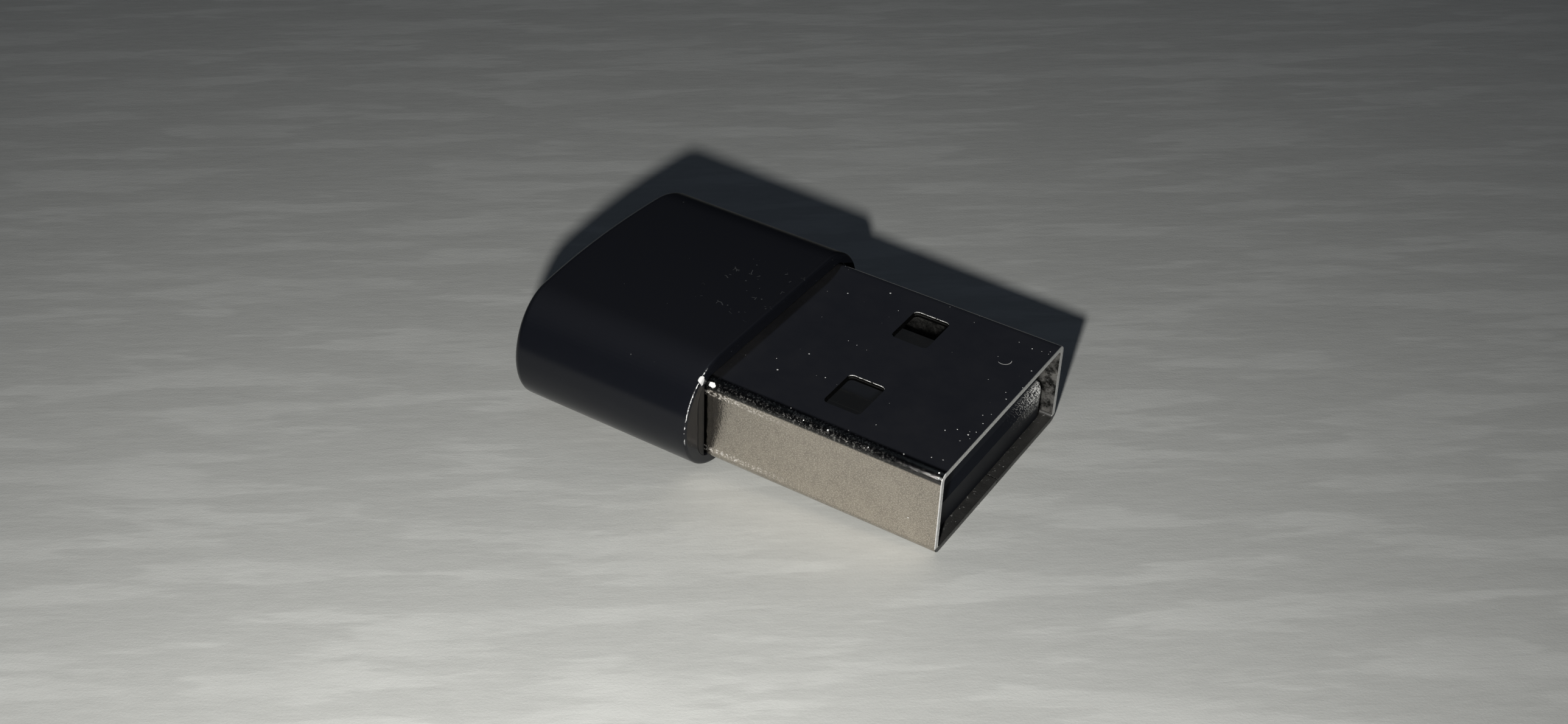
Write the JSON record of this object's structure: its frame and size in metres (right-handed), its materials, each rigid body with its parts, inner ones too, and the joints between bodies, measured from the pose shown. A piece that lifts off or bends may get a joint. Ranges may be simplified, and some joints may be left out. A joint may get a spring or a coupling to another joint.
{
  "type": "usb wifi adapter",
  "caption": "Small plug-in USB wireless adapter: metal-shelled Type-A plug on a short black housing with rounded sides, and the contacts, circuit board, radio chip and antenna inside.",
  "frame": {"origin": "Middle of the plug's section, in the plane of the housing's mouth where the plug comes out", "axes": "+X out of the plug's open end, +Y across the plug's width, +Z towards the contact cavity's side"},
  "size_m": [0.0228, 0.0154, 0.006],
  "materials": {
    "housing_plastic": "black moulded ABS, satin to gloss",
    "tray_plastic": "black moulded ABS, matt",
    "shell_steel": "bright nickel-plated steel sheet",
    "insulator_plastic": "black glass-filled polymer",
    "contact_gold": "gold-flashed copper alloy",
    "board_laminate": "green solder mask on glass-fibre laminate",
    "copper": "bare copper",
    "solder": "tin solder, bright",
    "chip_black": "black epoxy moulding",
    "tin": "tinned metal",
    "can_lid": "nickel-plated lid",
    "alumina": "unglazed light ceramic",
    "brown_ceramic": "brown capacitor ceramic",
    "dark_ceramic": "dark grey ferrite",
    "led_lens": "clear pale epoxy",
    "light_pipe": "clear polycarbonate, frosted end"
  },
  "bodies": {
    "root": {"rear_housing": "housing_plastic", "board_tray": "tray_plastic", "plug_shell": "shell_steel", "plug_insulator": "insulator_plastic", "vbus_contact": "contact_gold", "data_minus_contact": "contact_gold", "data_plus_contact": "contact_gold", "ground_contact": "contact_gold", "circuit_board": "board_laminate", "board_copper": "copper", "contact_solder": "solder", "shell_solder": "solder", "wifi_chip": "chip_black", "wifi_chip_leads": "tin", "crystal_base": "alumina", "crystal_lid": "can_lid", "chip_antenna": "alumina", "antenna_terminals": "tin", "voltage_regulator": "chip_black", "regulator_leads": "tin", "capacitors": "brown_ceramic", "capacitor_terminals": "tin", "resistors": "chip_black", "resistor_terminals": "tin", "matching_coils": "alumina", "coil_terminals": "tin", "ferrite_bead": "dark_ceramic", "ferrite_terminals": "tin", "status_led": "led_lens", "led_terminals": "tin", "light_pipe": "light_pipe"}
  },
  "joints": []
}
